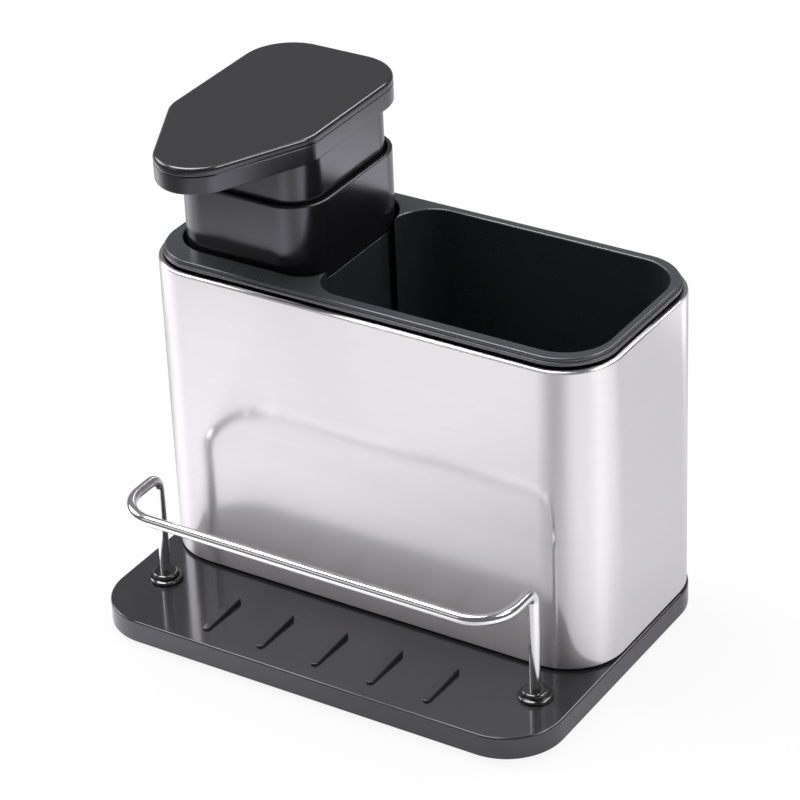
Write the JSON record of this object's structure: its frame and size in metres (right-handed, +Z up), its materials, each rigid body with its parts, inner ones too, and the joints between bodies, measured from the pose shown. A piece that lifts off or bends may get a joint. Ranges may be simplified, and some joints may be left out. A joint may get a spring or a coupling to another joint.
{
  "type": "soap pump caddy",
  "caption": "Counter-top soap pump caddy: brushed steel sleeve on a dark drip tray, lift-out liner with a brush compartment, lift-out press-pump bottle and a wire sponge rail.",
  "frame": {"origin": "on the counter under the middle of the tray, at the centre of the bounding box's bottom", "axes": "+X to the right and +Y to the back as one faces the sponge rail, +Z up"},
  "size_m": [0.195, 0.1376, 0.1946],
  "materials": {
    "tray_plastic": "charcoal plastic, glossy",
    "black_plastic": "charcoal plastic, glossy",
    "brushed_sheet": "stainless sheet, brushed round the sleeve",
    "chrome_wire": "polished",
    "plain_steel": "plain steel",
    "soft_rubber": "soft, matt",
    "pump_plastic": "natural plastic, matt"
  },
  "bodies": {
    "base": {"base_tray": "tray_plastic", "tray_feet": "soft_rubber", "steel_sleeve": "brushed_sheet", "base_screws": "plain_steel", "sleeve_bushes": "plain_steel", "sponge_rail": "chrome_wire", "rail_ferrules": "chrome_wire", "rail_nuts": "plain_steel"},
    "liner": {"inner_liner": "black_plastic"},
    "bottle": {"soap_bottle": "black_plastic"},
    "pump": {"pump_collar": "black_plastic", "mouth_gasket": "soft_rubber", "pump_cylinder": "pump_plastic", "cylinder_nut": "pump_plastic", "stem_guide": "pump_plastic", "inlet_ball": "plain_steel", "pump_spring": "plain_steel", "dip_tube": "pump_plastic"},
    "head": {"pump_stem": "pump_plastic", "pump_piston": "pump_plastic", "outlet_ball": "plain_steel", "head_shell": "black_plastic", "head_cover": "black_plastic", "spout_tube": "pump_plastic", "spout_nozzle": "black_plastic"}
  },
  "joints": [
    {"name": "liner_lift", "type": "slide", "parent": "base", "child": "liner", "axis": [0, 0, 1], "range_m": [0, 0.13]},
    {"name": "bottle_lift", "type": "slide", "parent": "liner", "child": "bottle", "axis": [0, 0, 1], "range_m": [0, 0.126]},
    {"name": "pump_pull", "type": "slide", "parent": "bottle", "child": "pump", "axis": [0, 0, 1], "range_m": [0, 0.116]},
    {"name": "head_press", "type": "slide", "parent": "pump", "child": "head", "axis": [0, 0, -1], "range_m": [0, 0.012], "stiffness_N_per_m": 300, "springref_m": -0.008, "deforming": ["pump_spring"]}
  ]
}
